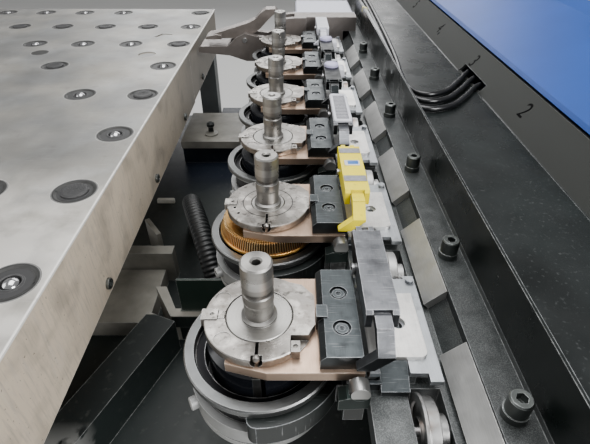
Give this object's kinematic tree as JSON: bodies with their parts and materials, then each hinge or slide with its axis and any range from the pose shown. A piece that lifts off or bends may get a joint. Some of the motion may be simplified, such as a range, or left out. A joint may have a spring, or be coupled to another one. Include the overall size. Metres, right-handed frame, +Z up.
{
  "type": "punch press tool magazine",
  "caption": "Tool rail with punch and die cassettes under lock levers, a sheet clamp, guide rollers and a ball and brush table on one bed.",
  "frame": {"origin": "on the floor, in the middle of the outline", "axes": "+X across from the table to the rail, +Y along the rail towards the sheet clamp, +Z up"},
  "size_m": [1.6, 1.53, 1.052],
  "materials": {
    "punch_steel": "turned bright steel",
    "ring_steel": "ground bright steel with light scratches",
    "jaw_steel": "ground steel with a copper tint",
    "cassette_black": "burnished dark grey",
    "lever_steel": "dark burnished steel",
    "lever_yellow": "bright yellow moulded plastic",
    "lever_pale": "pale grey moulded plastic",
    "die_steel": "turned steel, satin",
    "guide_black": "glossy black",
    "tooth_gold": "gold-coloured steel",
    "catch_steel": "dull grey steel",
    "pin_steel": "bright pins",
    "bracket_alu": "milled aluminium",
    "plate_bright": "bright brushed sheet",
    "wedge_grey": "satin grey steel",
    "rail_black": "black, lightly rubbed",
    "trough_black": "glossy dark green-black",
    "hose_black": "smooth black hose",
    "cover_blue": "mid-blue paint with a pale sheen",
    "clamp_pale": "pale grey, satin",
    "jaw_bright": "bright cast steel",
    "guide_steel": "ground guide steel",
    "bed_grey": "machine grey paint",
    "foot_steel": "zinc-plated feet",
    "table_steel": "satin stainless sheet",
    "insert_dark": "dark grey inserts and bristles",
    "ball_chrome": "polished balls",
    "screw_steel": "dull socket screws"
  },
  "bodies": {
    "bed": {"bed_frame": "bed_grey", "levelling_feet": "foot_steel", "table_frame": "bed_grey", "table_top": "table_steel", "table_inserts": "insert_dark", "table_balls": "ball_chrome", "apron_screws": "screw_steel", "guide_rails": "guide_steel"},
    "rail": {"rail_beam": "rail_black", "guide_blocks": "guide_steel", "wedge_plates": "wedge_grey", "rail_screws": "screw_steel", "station_brackets": "bracket_alu", "cover_plates": "plate_bright", "jaw_plates": "jaw_steel", "punch_guides": "guide_black", "toothed_ring": "tooth_gold", "catches": "catch_steel", "pivot_pins": "pin_steel", "cable_trough": "trough_black", "hoses": "hose_black", "side_cover": "cover_blue", "clamp_body": "clamp_pale", "punch_1": "punch_steel", "punch_2": "punch_steel", "punch_3": "punch_steel", "punch_4": "punch_steel", "punch_5": "punch_steel", "punch_6": "punch_steel", "align_ring_1": "ring_steel", "align_ring_2": "ring_steel", "align_ring_3": "ring_steel", "align_ring_4": "ring_steel", "align_ring_5": "ring_steel", "align_ring_6": "ring_steel", "cassette_1": "cassette_black", "cassette_2": "cassette_black", "cassette_3": "cassette_black", "cassette_4": "cassette_black", "cassette_5": "cassette_black", "cassette_6": "cassette_black", "die_1": "die_steel", "die_2": "die_steel", "die_3": "die_steel", "die_4": "die_steel", "die_5": "die_steel", "die_6": "die_steel"},
    "lever_1": {"lock_lever_1": "lever_steel"},
    "lever_2": {"lock_lever_2": "lever_yellow"},
    "lever_3": {"lock_lever_3": "lever_steel"},
    "lever_4": {"lock_lever_4": "cassette_black"},
    "lever_5": {"lock_lever_5": "cassette_black"},
    "lever_6": {"lock_lever_6": "lever_pale"},
    "wheel_1": {"roller_1": "pin_steel"},
    "wheel_2": {"roller_2": "pin_steel"},
    "wheel_3": {"roller_3": "pin_steel"},
    "wheel_4": {"roller_4": "pin_steel"},
    "wheel_5": {"roller_5": "pin_steel"},
    "wheel_6": {"roller_6": "pin_steel"},
    "jaw": {"clamp_jaw": "jaw_bright"}
  },
  "joints": [
    {"name": "rail_travel", "type": "slide", "parent": "bed", "child": "rail", "axis": [0, 1, 0], "range_m": [-0.15, 0.15]},
    {"name": "lever_lift_1", "type": "hinge", "parent": "rail", "child": "lever_1", "pos_m": [0.274, -0.555, 0.9425], "axis": [-1, 0, 0], "range_deg": [0, 60]},
    {"name": "lever_lift_2", "type": "hinge", "parent": "rail", "child": "lever_2", "pos_m": [0.274, -0.375, 0.9425], "axis": [-1, 0, 0], "range_deg": [0, 60]},
    {"name": "lever_lift_3", "type": "hinge", "parent": "rail", "child": "lever_3", "pos_m": [0.274, -0.195, 0.9425], "axis": [-1, 0, 0], "range_deg": [0, 60]},
    {"name": "lever_lift_4", "type": "hinge", "parent": "rail", "child": "lever_4", "pos_m": [0.274, -0.015, 0.9425], "axis": [-1, 0, 0], "range_deg": [0, 60]},
    {"name": "lever_lift_5", "type": "hinge", "parent": "rail", "child": "lever_5", "pos_m": [0.274, 0.165, 0.9425], "axis": [-1, 0, 0], "range_deg": [0, 60]},
    {"name": "lever_lift_6", "type": "hinge", "parent": "rail", "child": "lever_6", "pos_m": [0.274, 0.345, 0.9425], "axis": [-1, 0, 0], "range_deg": [0, 60]},
    {"name": "roller_spin_1", "type": "hinge", "parent": "rail", "child": "wheel_1", "pos_m": [0.3115, -0.688, 0.888], "axis": [1, 0, 0], "continuous": true},
    {"name": "roller_spin_2", "type": "hinge", "parent": "rail", "child": "wheel_2", "pos_m": [0.3115, -0.508, 0.888], "axis": [1, 0, 0], "continuous": true},
    {"name": "roller_spin_3", "type": "hinge", "parent": "rail", "child": "wheel_3", "pos_m": [0.3115, -0.328, 0.888], "axis": [1, 0, 0], "continuous": true},
    {"name": "roller_spin_4", "type": "hinge", "parent": "rail", "child": "wheel_4", "pos_m": [0.3115, -0.148, 0.888], "axis": [1, 0, 0], "continuous": true},
    {"name": "roller_spin_5", "type": "hinge", "parent": "rail", "child": "wheel_5", "pos_m": [0.3115, 0.032, 0.888], "axis": [1, 0, 0], "continuous": true},
    {"name": "roller_spin_6", "type": "hinge", "parent": "rail", "child": "wheel_6", "pos_m": [0.3115, 0.212, 0.888], "axis": [1, 0, 0], "continuous": true},
    {"name": "clamp_open", "type": "hinge", "parent": "rail", "child": "jaw", "pos_m": [0.072, 0.421, 0.902], "axis": [0, 1, 0], "range_deg": [-8, 14]}
  ]
}
